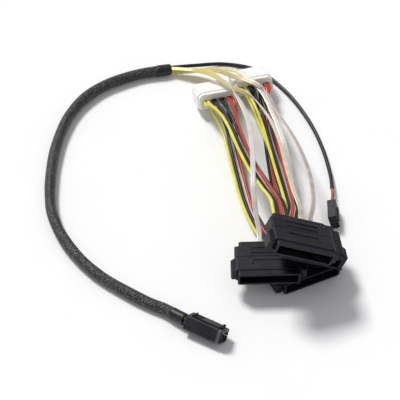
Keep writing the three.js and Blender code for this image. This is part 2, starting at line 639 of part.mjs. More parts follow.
// The place of one wire in a row: its slot drifts from the power housing's order to the drive connector's
function rowPoint(station, share, wire, index) {
  const [x, y, z, pitch, turn] = station;
  const swell = Math.sin(Math.PI * share);
  const slot = THREE.MathUtils.lerp(wire.slot, index, THREE.MathUtils.smoothstep(share, 0, 1));
  const across = (slot - (WIRES.length - 1) / 2) * pitch + wire.drift * swell;
  const rise = wire.rise * swell;
  const c = Math.cos(turn * DEG);
  const s = Math.sin(turn * DEG);
  return new THREE.Vector3(x + across * c - rise * s, y, z + across * s + rise * c);
}

// Four power wires from a power housing to a drive connector
function addPowerRow(row, housing, drive) {
  const rear = -POWER.length / 2;
  const far = DRIVE.length / 2;
  WIRES.forEach((wire, index) => {
    const x = circuitX(wire.slot) + (row.side * POWER.pairPitch) / 2;
    const last = row.stations.length - 1;
    const stations = smooth([
      toWorld(housing, x, rear + POWER_WIRE.seat - TOUCH, 0),
      toWorld(housing, x, rear - POWER_WIRE.straight, 0),
      ...row.stations.map((station, k) => rowPoint(station, k / last, wire, index)),
      toWorld(drive, driveWireX(index), far + POWER_WIRE.straight, 0),
      toWorld(drive, driveWireX(index), far - POWER_WIRE.seat + TOUCH, 0),
    ], POWER_WIRE.steps);
    mesh(`power_wire_${row.drive + 1}_${wire.name}`, sweep(roundSection(POWER_WIRE.diameter, POWER_WIRE.sides), stations),
      wire.finish, cable);
  });
}

const plug = addPlug();
const drives = PLACE.drive.map((place, i) => addDriveConnector(i + 1, place));
const housings = PLACE.power.map((place, i) => addPowerConnector(i + 1, place));
const trunk = trunkStations(plug);
addTrunk(trunk);
drives.forEach((drive, i) => addRibbon(i + 1, trunk, drive));
addSideband(trunk);
for (const row of ROWS) addPowerRow(row, housings[row.housing], drives[row.drive]);

// The origin is under the middle of everything but the cords
const CORDS = /^(trunk_sleeve|data_ribbon|sideband_cable|sideband_wire|power_wire)/;
cable.updateMatrixWorld(true);
const rigid = new THREE.Box3();
cable.traverse((piece) => {
  if (piece.isMesh && !CORDS.test(piece.name)) rigid.expandByObject(piece, true);
});
const middle = rigid.getCenter(new THREE.Vector3());
cable.position.set(-middle.x, -middle.y, -rigid.min.z);

export default cable;
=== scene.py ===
"""Looks of a storage breakout cable: trunk, data ribbons, power wires, connectors, light and camera.

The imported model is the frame. Every cord follows the route that its solid follows. Every connector keeps its
solid, and gets its moulded finish and its contacts here.
"""
from __future__ import annotations

import logging
import math
from collections.abc import Sequence
from dataclasses import dataclass
from enum import Enum

import bpy
import numpy as np
from mathutils import Euler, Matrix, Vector


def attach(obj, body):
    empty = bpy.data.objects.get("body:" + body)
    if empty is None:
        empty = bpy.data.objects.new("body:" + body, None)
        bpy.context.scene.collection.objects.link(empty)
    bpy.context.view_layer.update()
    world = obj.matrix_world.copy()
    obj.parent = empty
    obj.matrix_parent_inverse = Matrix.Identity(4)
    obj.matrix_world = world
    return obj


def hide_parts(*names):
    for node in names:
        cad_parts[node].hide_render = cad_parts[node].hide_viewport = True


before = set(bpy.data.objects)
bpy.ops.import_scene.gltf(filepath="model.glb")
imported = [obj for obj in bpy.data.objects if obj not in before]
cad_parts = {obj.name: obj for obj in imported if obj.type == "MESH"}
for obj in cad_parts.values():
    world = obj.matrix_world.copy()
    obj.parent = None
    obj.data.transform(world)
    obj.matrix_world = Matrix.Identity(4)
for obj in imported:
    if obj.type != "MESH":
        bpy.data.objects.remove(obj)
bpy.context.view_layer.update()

logging.basicConfig(level=logging.INFO, format="%(message)s")
log = logging.getLogger("cable")

MM = 0.001
CABLE = "cable"
# From the middle of the photograph's table to the frame's origin
SHIFT = np.array((-0.028523, 0.001343, 0.0))

SPLINE_GRID = 1201
FAN_STEPS = 90
LEAD_STEPS = 110
SLEEVE_STEPS = 120
CORE_STEPS = 30

Path3 = np.ndarray  # stations, one row of three metres each


class Wire(Enum):
    """The four power wires of a drive connector: node ending and place across the power housing."""

    YELLOW = ("yellow", 0, 0.0001, 0.0002)
    BLACK_A = ("black_a", 1, -0.0001, 0.0)
    RED = ("red", 3, 0.0, 0.0012)
    BLACK_B = ("black_b", 2, 0.0, -0.0012)

    def __init__(self, ending: str, circuit: int, drift: float, rise: float) -> None:
        self.ending = ending
        self.circuit = circuit
        self.drift = drift
        self.rise = rise


@dataclass(frozen=True)
class Placement:
    """Where a rigid sub-assembly lies: its middle in metres and its pitch, roll and yaw in degrees."""

    at: tuple[float, float, float]
    turn: tuple[float, float, float]

    def matrix(self) -> np.ndarray:
        """The turn as a matrix.

        Returns:
            A 3 by 3 rotation matrix.
        """
        angles = [math.radians(angle) for angle in self.turn]
        return np.array(Euler(angles, "XYZ").to_matrix())

    def point(self, x: float, y: float, z: float) -> np.ndarray:
        """A point of the sub-assembly on the table.

        Args:
            x: Across the sub-assembly, in metres.
            y: Along it.
            z: Above its middle.

        Returns:
            The point in the table's axes.
        """
        return self.matrix() @ np.array((x, y, z)) + np.array(self.at)

    def points(self, local: np.ndarray) -> np.ndarray:
        """Points of the sub-assembly in the frame's axes.

        Args:
            local: One point per row.

        Returns:
            The points, with the shift to the frame's origin.
        """
        return local @ self.matrix().T + np.array(self.at) + SHIFT


PLUG = Placement((0.0036, -0.1089, 0.00605), (0, 32, 59))
DRIVES = (
    Placement((0.0392, -0.0660, 0.0151), (0, 180, 2)),
    Placement((0.0570, -0.0706, 0.0394), (-3, 23.5, 7)),
    Placement((0.0631, -0.0592, 0.0246), (0, 23.5, 8)),
    Placement((0.0590, -0.0584, 0.0049), (0, 0, 26)),
)
POWERS = (
    Placement((0.0088, 0.0856, 0.00785), (-20, 0, 15)),
    Placement((0.0317, 0.0980, 0.00785), (-20, 0, 15)),
)
SIDE_HOUSING = Placement((0.0792, -0.0172, 0.0056), (0, 75, 0))

PLUG_REAR = 0.01175
PLUG_WALL = 0.0022
PLUG_MIDDLE = -0.0005
DRIVE_REAR = 0.0134
DRIVE_SEAT = 0.0017
DRIVE_RUN = 0.0055
POWER_REAR = -0.00975
POWER_SEAT = 0.0017
POWER_PITCH = 0.00508
PAIR_PITCH = 0.0021
SIDE_REAR = 0.007
SIDE_PITCH = 0.00254
RIBBON_AT = 0.004
WIRE_START = -0.0135
WIRE_PITCH = 0.0028

TRUNK_ROUTE = (
    (-0.0287, -0.0876, 0.00385), (-0.0432, -0.0778, 0.00385), (-0.0580, -0.0660, 0.00385),
    (-0.0701, -0.0524, 0.00385), (-0.0814, -0.0337, 0.00385), (-0.0881, -0.0146, 0.00385),
    (-0.0900, 0.0005, 0.00385), (-0.0902, 0.0177, 0.00385), (-0.0891, 0.0351, 0.00385),
    (-0.0862, 0.0529, 0.00385), (-0.0808, 0.0710, 0.00385), (-0.0726, 0.0857, 0.00385),
    (-0.0617, 0.0968, 0.00385), (-0.0492, 0.1043, 0.00385), (-0.0375, 0.1092, 0.00385),
)
PLUG_SHRINK_START = (-0.0083, -0.1015, 0.0052)
PLUG_SHRINK_HEADING = 142
PLUG_SHRINK_END_LEVEL = 0.0044
PLUG_SHRINK_LENGTH = 0.010
BREAKOUT_START = (-0.0273, 0.1116, 0.00385)
BREAKOUT_HEADING = 12
BREAKOUT_LENGTH = 0.009

RIBBON_FAN = (
    ((-0.004, 0.108, 0.008), (0.004, 0.0994, 0.0136), (0.0113, 0.090, 0.0176), (0.0187, 0.077, 0.021),
     (0.024, 0.064, 0.023), (0.029, 0.045, 0.024), (0.0312, 0.0145, 0.0285), (0.0312, -0.010, 0.0318),
     (0.0314, -0.0225, 0.028), (0.033, -0.0345, 0.0205), (0.0346, -0.043, 0.0163)),
    ((-0.004, 0.1095, 0.0064), (0.006, 0.1026, 0.011), (0.0186, 0.0826, 0.0168), (0.0308, 0.066, 0.0246),
     (0.0413, 0.0415, 0.0297), (0.0472, 0.0167, 0.034), (0.0505, -0.0088, 0.038), (0.054, -0.032, 0.0406),
     (0.0575, -0.046, 0.0396)),
    ((-0.004, 0.1108, 0.005), (0.008, 0.1055, 0.0106), (0.022, 0.0905, 0.018), (0.0384, 0.0765, 0.0214),
     (0.0469, 0.0555, 0.0208), (0.0543, 0.038, 0.0217), (0.0604, 0.0195, 0.0228), (0.0655, -0.005, 0.0237),
     (0.0663, -0.027, 0.024)),
    ((-0.004, 0.112, 0.0037), (0.009, 0.108, 0.009), (0.023, 0.0975, 0.0166), (0.037, 0.078, 0.0192),
     (0.046, 0.052, 0.018), (0.0505, 0.034, 0.017), (0.0528, 0.022, 0.015), (0.0555, -0.002, 0.0088),
     (0.0546, -0.016, 0.0066), (0.0524, -0.028, 0.0053)),
)
SIDEBAND_FAN = (
    (-0.003, 0.118, 0.003), (0.016, 0.121, 0.0014), (0.0355, 0.1156, 0.0013), (0.0528, 0.097, 0.0013),
    (0.0675, 0.0686, 0.0013), (0.0755, 0.042, 0.0013), (0.0793, 0.0171, 0.0020), (0.0794, 0.011, 0.0032),
    (0.0794, 0.005, 0.0046),
)


@dataclass(frozen=True)
class Row:
    """A flat row of four power wires.

    Each station has the row's middle, its pitch and its turn in degrees.
    """

    housing: int
    side: int
    drive: int
    stations: tuple[tuple[float, float, float, float, float], ...]


ROWS = (
    Row(0, -1, 1, (
        (0.0126, 0.068, 0.0156, 0.0049, 0), (0.017, 0.0575, 0.0174, 0.0033, -4),
        (0.0206, 0.046, 0.0176, 0.0025, -6), (0.026, 0.026, 0.019, 0.0022, 6),
        (0.0325, 0.002, 0.024, 0.0022, 8), (0.0395, -0.022, 0.032, 0.0024, -8),
        (0.0445, -0.041, 0.040, 0.0026, -18),
    )),
    Row(1, -1, 0, (
        (0.036, 0.076, 0.0105, 0.0034, 0), (0.0385, 0.058, 0.0075, 0.0024, -40),
        (0.0415, 0.036, 0.0074, 0.0022, -85), (0.045, 0.010, 0.0094, 0.0022, -130),
        (0.048, -0.016, 0.0124, 0.0024, -168), (0.049, -0.036, 0.015, 0.0027, -180),
    )),
    Row(1, 1, 2, (
        (0.0365, 0.076, 0.0145, 0.0036, 0), (0.0405, 0.058, 0.014, 0.0025, 8),
        (0.044, 0.036, 0.0142, 0.0022, -4), (0.0485, 0.008, 0.017, 0.0022, 4),
        (0.052, -0.018, 0.0225, 0.0023, -10), (0.0532, -0.032, 0.027, 0.0026, -20),
    )),
    Row(0, 1, 3, (
        (0.0148, 0.067, 0.0112, 0.0049, 0), (0.0178, 0.056, 0.0076, 0.0033, 6),
        (0.020, 0.042, 0.0046, 0.0025, 8), (0.0235, 0.020, 0.0036, 0.0023, 4),
        (0.0285, -0.006, 0.0032, 0.0023, 0), (0.034, -0.024, 0.0036, 0.0024, 0),
        (0.0395, -0.037, 0.0046, 0.0027, 0),
    )),
)


def smooth(points: Sequence[Sequence[float]], steps: int) -> Path3:
    """Evenly spaced stations on a centripetal spline through points.

    Args:
        points: The points it runs through, in metres.
        steps: How many steps to divide it into.

    Returns:
        The stations, one more than the steps.
    """
    p = np.array(points, dtype=float)
    p = np.vstack((2 * p[0] - p[1], p, 2 * p[-1] - p[-2]))
    spans = len(p) - 3

    def at(t: np.ndarray) -> np.ndarray:
        place = np.clip(t * spans, 0, spans)
        i = np.minimum(place.astype(int), spans - 1)
        w = (place - i)[:, None]
        p0, p1, p2, p3 = p[i], p[i + 1], p[i + 2], p[i + 3]
        d0, d1, d2 = (np.sqrt(np.linalg.norm(b - a, axis=1))[:, None]
                      for a, b in ((p0, p1), (p1, p2), (p2, p3)))
        t1 = ((p1 - p0) / d0 - (p2 - p0) / (d0 + d1) + (p2 - p1) / d1) * d1
        t2 = ((p2 - p1) / d1 - (p3 - p1) / (d1 + d2) + (p3 - p2) / d2) * d1
        c2 = -3 * p1 + 3 * p2 - 2 * t1 - t2
        c3 = 2 * p1 - 2 * p2 + t1 + t2
        return p1 + t1 * w + c2 * w**2 + c3 * w**3

    grid = np.linspace(0, 1, SPLINE_GRID)
    run = run_along(at(grid))
    return at(np.interp(np.linspace(0, run[-1], steps + 1), run, grid))


def run_along(path: Path3) -> np.ndarray:
    """How far along a path each station lies.

    Args:
        path: Its stations.

    Returns:
        The distances in metres, from zero.
    """
    return np.concatenate(([0.0], np.cumsum(np.linalg.norm(np.diff(path, axis=0), axis=1))))


def measure(path: Path3) -> float:
    """The length of a path.

    Args:
        path: Its stations.

    Returns:
        The length in metres.
    """
    return float(np.linalg.norm(np.diff(path, axis=0), axis=1).sum())


def resample(path: Path3, step: float) -> Path3:
    """The same path with even stations.

    Args:
        path: Its stations.
        step: The distance between the new ones.

    Returns:
        The new stations.
    """
    run = run_along(path)
    places = np.linspace(0, run[-1], max(2, int(round(run[-1] / step)) + 1))
    return np.column_stack([np.interp(places, run, path[:, k]) for k in range(3)])


def unit(vectors: np.ndarray) -> np.ndarray:
    """Vectors scaled to length one.

    Args:
        vectors: One per row.

    Returns:
        The unit vectors.
    """
    return vectors / np.maximum(np.linalg.norm(vectors, axis=-1, keepdims=True), 1e-12)


def headings(path: Path3) -> np.ndarray:
    """The direction of a path at each station.

    Args:
        path: Its stations.

    Returns:
        One unit vector per station.
    """
    return unit(np.gradient(path, axis=0))


def sides(path: Path3, first: np.ndarray, last: np.ndarray) -> np.ndarray:
    """Sideways directions that turn smoothly from one end of a path to the other.

    Args:
        path: Its stations.
        first: The side at the start.
        last: The side at the end.

    Returns:
        One unit vector per station, square to the path.
    """
    if np.dot(first, last) < 0:
        last = -last
    share = np.linspace(0, 1, len(path))[:, None]
    share = share * share * (3 - 2 * share)
    along = headings(path)
    side = first * (1 - share) + last * share
    return unit(side - along * (side * along).sum(axis=1, keepdims=True))


class Sweep:
    """Builds a mesh by carrying a closed section along a path."""

    def __init__(self, path: Path3, side: np.ndarray | None = None) -> None:
        """Sets out the stations.

        Args:
            path: The stations.
            side: The sideways direction at each station, or None for one that lies level.
        """
        self.path = path
        self.along = headings(path)
        if side is None:
            level = np.column_stack((-self.along[:, 1], self.along[:, 0], np.zeros(len(path))))
            side = unit(level)
        self.side = side
        self.up = np.cross(self.along, side)

    def tube(self, name: str, section: np.ndarray, scale: np.ndarray | None = None,
             hollow: bool = False) -> bpy.types.Object:
        """Makes the mesh.

        Args:
            name: The object's name.
            section: Points across and up, in metres, in order around the section.
            scale: A factor for the section at each station.
            hollow: Leaves the ends open.

        Returns:
            The object, with a UV map in metres: around, then along.
        """
        count, around = len(self.path), len(section)
        size = np.ones(count) if scale is None else scale
        ring = section[None, :, :] * size[:, None, None]
        points = (self.path[:, None, :] + ring[:, :, :1] * self.side[:, None, :]
                  + ring[:, :, 1:] * self.up[:, None, :])
        i, j = np.meshgrid(np.arange(count - 1), np.arange(around), indexing="ij")
        k = (j + 1) % around
        here, there = i * around, (i + 1) * around
        faces = np.stack((here + j, here + k, there + k, there + j), axis=-1)
        edge = run_along(np.vstack((section, section[:1])))
        run = run_along(self.path)
        uv = np.stack((
            np.stack((edge[j], edge[j + 1], edge[j + 1], edge[j]), axis=-1),
            np.stack((run[i], run[i], run[i + 1], run[i + 1]), axis=-1),
        ), axis=-1)
        quads = faces.reshape(-1, 4).tolist()
        first, last = list(range(around))[::-1], list(range((count - 1) * around, count * around))
        caps = [] if hollow else [first, last]
        cap_uv = [] if hollow else [np.zeros((around, 2))] * 2
        corners = np.vstack([uv.reshape(-1, 2), *cap_uv])
        return make_mesh(name, points.reshape(-1, 3) + SHIFT, quads + caps, corners)


def make_mesh(name: str, points: np.ndarray, faces: list[list[int]], uv: np.ndarray | None = None,
              smooth_shade: bool = True) -> bpy.types.Object:
    """Makes a mesh object.

    Args:
        name: The object's name.
        points: One point per row, in metres.
        faces: The corners of each face.
        uv: One row for each corner of each face, in order.
        smooth_shade: Shades the faces smoothly.

    Returns:
        The object, in the scene's collection.
    """
    data = bpy.data.meshes.new(name)
    data.from_pydata(points.tolist(), [], faces)
    if uv is not None:
        data.uv_layers.new(name="metres").data.foreach_set("uv", uv.astype(np.float32).ravel())
    data.polygons.foreach_set("use_smooth", [smooth_shade] * len(data.polygons))
    data.update()
    item = bpy.data.objects.new(name, data)
    bpy.context.scene.collection.objects.link(item)
    return item


def circle(radius: float, count: int) -> np.ndarray:
    """A round section.

    Args:
        radius: In metres.
        count: How many points.

    Returns:
        Points across and up.
    """
    angle = np.linspace(0, 2 * math.pi, count, endpoint=False)
    return np.column_stack((np.cos(angle), np.sin(angle))) * radius


def linear(code: str) -> tuple[float, float, float, float]:
    """A colour for a shader from its sRGB code.

    Args:
        code: Six hexadecimal digits.

    Returns:
        Linear red, green, blue and an alpha of one.
    """
    parts = [int(code[i:i + 2], 16) / 255 for i in (0, 2, 4)]
    red, green, blue = (c / 12.92 if c <= 0.04045 else ((c + 0.055) / 1.055) ** 2.4 for c in parts)
    return red, green, blue, 1.0


class Shader:
    """A material's node tree, built one node at a time."""

    def __init__(self, name: str, constants: dict[str, float | tuple[float, ...]]) -> None:
        """Starts a material.

        Args:
            name: The material's name.
            constants: Values for the surface shader's own sockets.
        """
        self.material = bpy.data.materials.new(name)
        self.material.use_nodes = True
        self.tree = self.material.node_tree
        self.surface = self.tree.nodes["Principled BSDF"]
        for socket, value in constants.items():
            self.surface.inputs[socket].default_value = value

    def add(self, kind: str, settings: dict[str, object] | None = None,
            links: dict[str | int, object] | None = None) -> bpy.types.Node:
        """Adds a node with its settings and links.

        Args:
            kind: The node's type without its prefix.
            settings: Attributes, or values of inputs that have the same name.
            links: What feeds each input: a node, a socket or a plain value.

        Returns:
            The node.
        """
        item = self.tree.nodes.new("ShaderNode" + kind)
        for key, value in (settings or {}).items():
            if key in item.inputs:
                item.inputs[key].default_value = value
            else:
                setattr(item, key, value)
        for key, source in (links or {}).items():
            if isinstance(source, bpy.types.Node):
                source = source.outputs[0]
            if isinstance(source, bpy.types.NodeSocket):
                self.tree.links.new(source, item.inputs[key])
            else:
                item.inputs[key].default_value = source
        return item

    def feed(self, socket: str, source: object) -> None:
        """Links a node or socket to the surface shader.

        Args:
            socket: The shader's input.
            source: What feeds it.
        """
        if isinstance(source, bpy.types.Node):
            source = source.outputs[0]
        self.tree.links.new(source, self.surface.inputs[socket])

    def coordinates(self, from_uv: bool, stretch: tuple[float, float, float] = (1, 1, 1)) -> bpy.types.Node:
        """Coordinates in millimetres.

        Args:
            from_uv: Takes the UV map, which is in metres around and along, in place of the object's own axes.
            stretch: A factor for each axis.

        Returns:
            The mapping node.
        """
        source = self.add("TexCoord").outputs["UV" if from_uv else "Object"]
        return self.add("Mapping", {"Scale": tuple(s / MM for s in stretch)}, {"Vector": source})

    def noise(self, where: bpy.types.Node, size_mm: float, detail: float = 3,
              rough: float = 0.5) -> bpy.types.NodeSocket:
        """Noise whose cells have a real size.

        Args:
            where: Coordinates in millimetres.
            size_mm: The size of its largest features.
            detail: How many finer layers it has.
            rough: How strong those are.

        Returns:
            The noise from 0 to 1.
        """
        settings = {"Scale": 1 / size_mm, "Detail": detail, "Roughness": rough}
        return self.add("TexNoise", settings, {"Vector": where}).outputs["Fac"]

    def ramp(self, source: object, low: float, high: float, low_value: float = 0,
             high_value: float = 1) -> bpy.types.Node:
        """Maps a range of values to another.

        Args:
            source: What to map.
            low: Where the range starts.
            high: Where it ends.
            low_value: The value at the start.
            high_value: The value at the end.

        Returns:
            The node.
        """
        settings = {"From Min": low, "From Max": high, "To Min": low_value, "To Max": high_value}
        return self.add("MapRange", settings, {"Value": source})

    def blend(self, share: object, first: object, second: object) -> bpy.types.NodeSocket:
        """Mixes two colours.

        Args:
            share: How much of the second colour.
            first: A colour or what feeds it.
            second: A colour or what feeds it.

        Returns:
            The mixed colour.
        """
        item = self.add("Mix", {"data_type": "RGBA"}, {0: share, 6: first, 7: second})
        return item.outputs[2]

    def bump(self, height: object, depth_mm: float, strength: float = 1.0,
             normal: object = None) -> bpy.types.Node:
        """A bump of a real depth.

        Args:
            height: Heights from 0 to 1.
            depth_mm: How deep the bump is.
            strength: How strongly it shows.
            normal: The normal it starts from.

        Returns:
            The bump node.
        """
        links = {"Height": height} if normal is None else {"Height": height, "Normal": normal}
        return self.add("Bump", {"Distance": depth_mm * MM, "Strength": strength}, links)


@dataclass(frozen=True)
class Band:
    """A stretch of another colour between two places along a direction, in millimetres."""

    colour: str
    direction: tuple[float, float, float]
    start_mm: float
    end_mm: float


@dataclass(frozen=True)
class Moulded:
    """Fine-textured moulded plastic with softened edges, random mottling, and edges painted toward a second tone:
    a painted highlight where that tone is lighter, painted shade where it is darker.
    """

    name: str
    colour: str
    # Second tone: random mottling, and the colour of the painted edge highlight or edge shade
    mottle_and_painted_edge: str
    roughness: float
    grain_mm: float = 0.18
    grain_depth_mm: float = 0.012
    edge_mm: float = 0.28
    specular: float = 0.5
    glow: float = 0.0
    band: Band | None = None

    def build(self) -> bpy.types.Material:
        """Makes the material.

        Returns:
            The material.
        """
        shader = Shader(self.name, {"Specular IOR Level": self.specular, "Subsurface Weight": self.glow,
                                    "Subsurface Scale": 1.5 * MM, "Subsurface Radius": (1.0, 0.95, 0.8)})
        place = shader.coordinates(False)
        edge = shader.add("Bevel", {"samples": 6, "Radius": self.edge_mm * MM})
        grain = shader.noise(place, self.grain_mm, 2, 0.6)
        slow = shader.noise(place, 9, 3)
        shader.feed("Normal", shader.bump(grain, self.grain_depth_mm, 0.6, edge))
        bare = shader.add("NewGeometry").outputs["Normal"]
        turn = shader.add("VectorMath", {"operation": "DOT_PRODUCT"}, {0: edge, 1: bare}).outputs["Value"]
        # Painted edge light: the edges blend patchily toward the second tone, a painted highlight on the dark
        # plastics and painted shade on the nylon
        painted_edge_rim = shader.ramp(turn, 0.995, 0.86, 0, 0.75)
        patches = shader.ramp(slow, 0.3, 0.7, 0.45, 1)
        painted_edge_share = shader.add("Math", {"operation": "MULTIPLY"}, {0: painted_edge_rim, 1: patches})
        body = shader.blend(shader.ramp(slow, 0.35, 0.65, 0, 0.3), linear(self.colour), linear(self.mottle_and_painted_edge))
        if self.band is not None:
            run = shader.add("VectorMath", {"operation": "DOT_PRODUCT"}, {0: place, 1: self.band.direction})
            inside = shader.add("Math", {"operation": "COMPARE"}, {
                0: run.outputs["Value"], 1: (self.band.start_mm + self.band.end_mm) / 2,
                2: (self.band.end_mm - self.band.start_mm) / 2})
            body = shader.blend(inside, body, linear(self.band.colour))
        shader.feed("Base Color", shader.blend(painted_edge_share, body, linear(self.mottle_and_painted_edge)))
        shader.feed("Roughness", shader.ramp(slow, 0.3, 0.7, self.roughness - 0.06, self.roughness + 0.06))
        return shader.material


@dataclass(frozen=True)
class Filament:
    """Shiny monofilament: several lie side by side in a strip, with painted shade in the grooves between
    filaments and a painted glint where the strip passes over.
    """

    name: str
    colour: str
    # Darker tone: random mottling, and the painted shade in the grooves between filaments
    mottle_and_groove_shade: str
    # Colour of the painted glint
    painted_glint: str
    roughness: float
    strip_mm: float
    count: int
    crest_mm: float

    def build(self) -> bpy.types.Material:
        """Makes the material.

        Returns:
            The material.
        """
        shader = Shader(self.name, {"Specular IOR Level": 0.5, "Coat Weight": 0.15, "Coat Roughness": 0.3})
        place = shader.coordinates(True)
        across = shader.add("SeparateXYZ", None, {"Vector": place}).outputs["X"]
        per_mm = math.pi * self.count / self.strip_mm
        wave = shader.add("Math", {"operation": "MULTIPLY"}, {0: across, 1: per_mm})
        sine = shader.add("Math", {"operation": "SINE"}, {0: wave})
        round_top = shader.add("Math", {"operation": "ABSOLUTE"}, {0: sine})
        slow = shader.noise(place, 14, 2)
        shader.feed("Normal", shader.bump(round_top, 0.08, 0.9))
        tone = shader.blend(shader.ramp(slow, 0.3, 0.7, 0, 0.5), linear(self.colour), linear(self.mottle_and_groove_shade))
        # Painted shade: the grooves between the filaments are painted toward the darker tone
        tone = shader.blend(shader.ramp(round_top, 0.0, 0.5, 0.8, 0), tone, linear(self.mottle_and_groove_shade))
        along = shader.add("SeparateXYZ", None, {"Vector": place}).outputs["Y"]
        turn = shader.add("Math", {"operation": "MULTIPLY"}, {0: along, 1: 2 * math.pi / self.crest_mm})
        # Painted highlight: sparkling spots on the crests where a strand passes over are painted toward the glint
        # colour
        crest = shader.ramp(shader.add("Math", {"operation": "COSINE"}, {0: turn}), 0.45, 0.95)
        painted_sparkle = shader.ramp(shader.noise(shader.coordinates(False), 1.5, 1), 0.47, 0.6, 0.04, 0.75)
        share = shader.add("Math", {"operation": "MULTIPLY"}, {0: crest, 1: painted_sparkle})
        shader.feed("Base Color", shader.blend(share, tone, linear(self.painted_glint)))
        shader.feed("Roughness", shader.ramp(slow, 0.3, 0.7, self.roughness - 0.05, self.roughness + 0.08))
        return shader.material


@dataclass(frozen=True)
class Insulation:
    """Extruded wire insulation with faint streaks along it and slow changes of colour."""

    name: str
    colour: str
    deep: str
    roughness: float
    coat: float = 0.25
    streak_mm: tuple[float, float] = (0.35, 7.0)

    def build(self) -> bpy.types.Material:
        """Makes the material.

        Returns:
            The material.
        """
        shader = Shader(self.name, {"Specular IOR Level": 0.5, "Coat Weight": self.coat, "Coat Roughness": 0.22,
                                    "Subsurface Weight": 0.06, "Subsurface Scale": 0.4 * MM})
        across, along = self.streak_mm
        streaks = shader.noise(shader.coordinates(True, (1 / across, 1 / along, 1)), 1, 3)
        slow = shader.noise(shader.coordinates(True, (0.1, 1, 1)), 16, 2)
        deepening = shader.ramp(slow, 0.35, 0.7)
        shader.feed("Base Color", shader.blend(deepening, linear(self.colour), linear(self.deep)))
        shader.feed("Roughness", shader.ramp(streaks, 0.3, 0.7, self.roughness - 0.06, self.roughness + 0.08))
        shader.feed("Normal", shader.bump(streaks, 0.02, 0.5))
        return shader.material


@dataclass(frozen=True)
class Jacket:
    """A clear jacket over crinkled foil, with the conductors showing as soft ridges."""

    name: str
    colour: str
    shade: str
    foil: float
    roughness: float
    crinkle_mm: float = 1.1
    golden: str = "dccb68"
    golden_to_mm: tuple[float, float] = (-26.0, 10.0)

    def build(self) -> bpy.types.Material:
        """Makes the material.

        Returns:
            The material.
        """
        shader = Shader(self.name, {"Metallic": self.foil, "Coat Weight": 0.45, "Coat Roughness": 0.18,
                                    "Specular IOR Level": 0.5})
        place = shader.coordinates(True)
        folds = shader.add("TexVoronoi", {"feature": "F1", "Scale": 1 / self.crinkle_mm, "Randomness": 1.0},
                           {"Vector": shader.coordinates(True, (0.6, 1, 1))}).outputs["Distance"]
        wrap = shader.noise(shader.coordinates(True, (0.4, 1, 1)), 4.5, 3, 0.6)
        fine = shader.noise(place, 0.35, 2)
        colour = shader.blend(shader.ramp(wrap, 0.3, 0.7, 0, 0.8), linear(self.colour), linear(self.shade))
        right = shader.add("SeparateXYZ", None, {"Vector": shader.coordinates(False)}).outputs["X"]
        colour = shader.blend(shader.ramp(right, *self.golden_to_mm, 0.95, 0), colour, linear(self.golden))
        shader.feed("Base Color", colour)
        shader.feed("Roughness", shader.ramp(fine, 0.3, 0.7, self.roughness - 0.07, self.roughness + 0.1))
        shader.feed("Normal", shader.bump(folds, 0.05, 0.5, shader.bump(wrap, 0.12, 0.5)))
        return shader.material


@dataclass(frozen=True)
class Sleeving:
    """Shrunk tube: satin, with shallow wrinkles along it and a painted sheen on the raised wrinkles."""

    name: str
    colour: str
    # The lighter colour of the painted sheen on the wrinkles
    light: str
    roughness: float

    def build(self) -> bpy.types.Material:
        """Makes the material.

        Returns:
            The material.
        """
        shader = Shader(self.name, {"Specular IOR Level": 0.45, "Coat Weight": 0.1, "Coat Roughness": 0.4})
        wrinkles = shader.noise(shader.coordinates(True, (1 / 0.9, 1 / 4.0, 1)), 1, 3, 0.6)
        fine = shader.noise(shader.coordinates(True), 0.15, 2)
        # Painted sheen: the raised wrinkles are painted toward the lighter colour
        shader.feed("Base Color", shader.blend(shader.ramp(wrinkles, 0.35, 0.75, 0, 0.7), linear(self.colour),
                                               linear(self.light)))
        shader.feed("Roughness", shader.ramp(wrinkles, 0.3, 0.7, self.roughness - 0.08, self.roughness + 0.08))
        shader.feed("Normal", shader.bump(fine, 0.01, 0.4, shader.bump(wrinkles, 0.12, 0.6)))
        return shader.material


@dataclass(frozen=True)
class Plated:
    """Plated or tinned metal with fine drawing marks."""

    name: str
    colour: str
    dull: str
    roughness: float

    def build(self) -> bpy.types.Material:
        """Makes the material.

        Returns:
            The material.
        """
        shader = Shader(self.name, {"Metallic": 1.0})
        place = shader.coordinates(False)
        slow = shader.noise(place, 2.0, 3)
        fine = shader.noise(shader.coordinates(False, (1, 0.2, 1)), 0.12, 2)
        dulling = shader.ramp(slow, 0.35, 0.7)
        shader.feed("Base Color", shader.blend(dulling, linear(self.colour), linear(self.dull)))
        shader.feed("Roughness", shader.ramp(fine, 0.3, 0.7, self.roughness - 0.06, self.roughness + 0.1))
        shader.feed("Normal", shader.bump(fine, 0.01, 0.4))
        return shader.material


@dataclass(frozen=True)
class Laminate:
    """Circuit board: solder mask with tracks just showing through."""

    name: str
    colour: str
    track: str
    pitch_mm: float

    def build(self) -> bpy.types.Material:
        """Makes the material.

        Returns:
            The material.
        """
        shader = Shader(self.name, {"Coat Weight": 0.3, "Coat Roughness": 0.15})
        place = shader.coordinates(False)
        tracks = shader.add("TexWave", {"wave_type": "BANDS", "Scale": 0.5 / self.pitch_mm, "Distortion": 1.2,
                                        "Detail": 1}, {"Vector": place}).outputs["Fac"]
        slow = shader.noise(place, 3, 2)
        shader.feed("Base Color", shader.blend(shader.ramp(tracks, 0.6, 0.7, 0, 0.6), linear(self.colour),
                                               linear(self.track)))
        shader.feed("Roughness", shader.ramp(slow, 0.3, 0.7, 0.3, 0.42))
        shader.feed("Normal", shader.bump(tracks, 0.03, 0.4))
        return shader.material


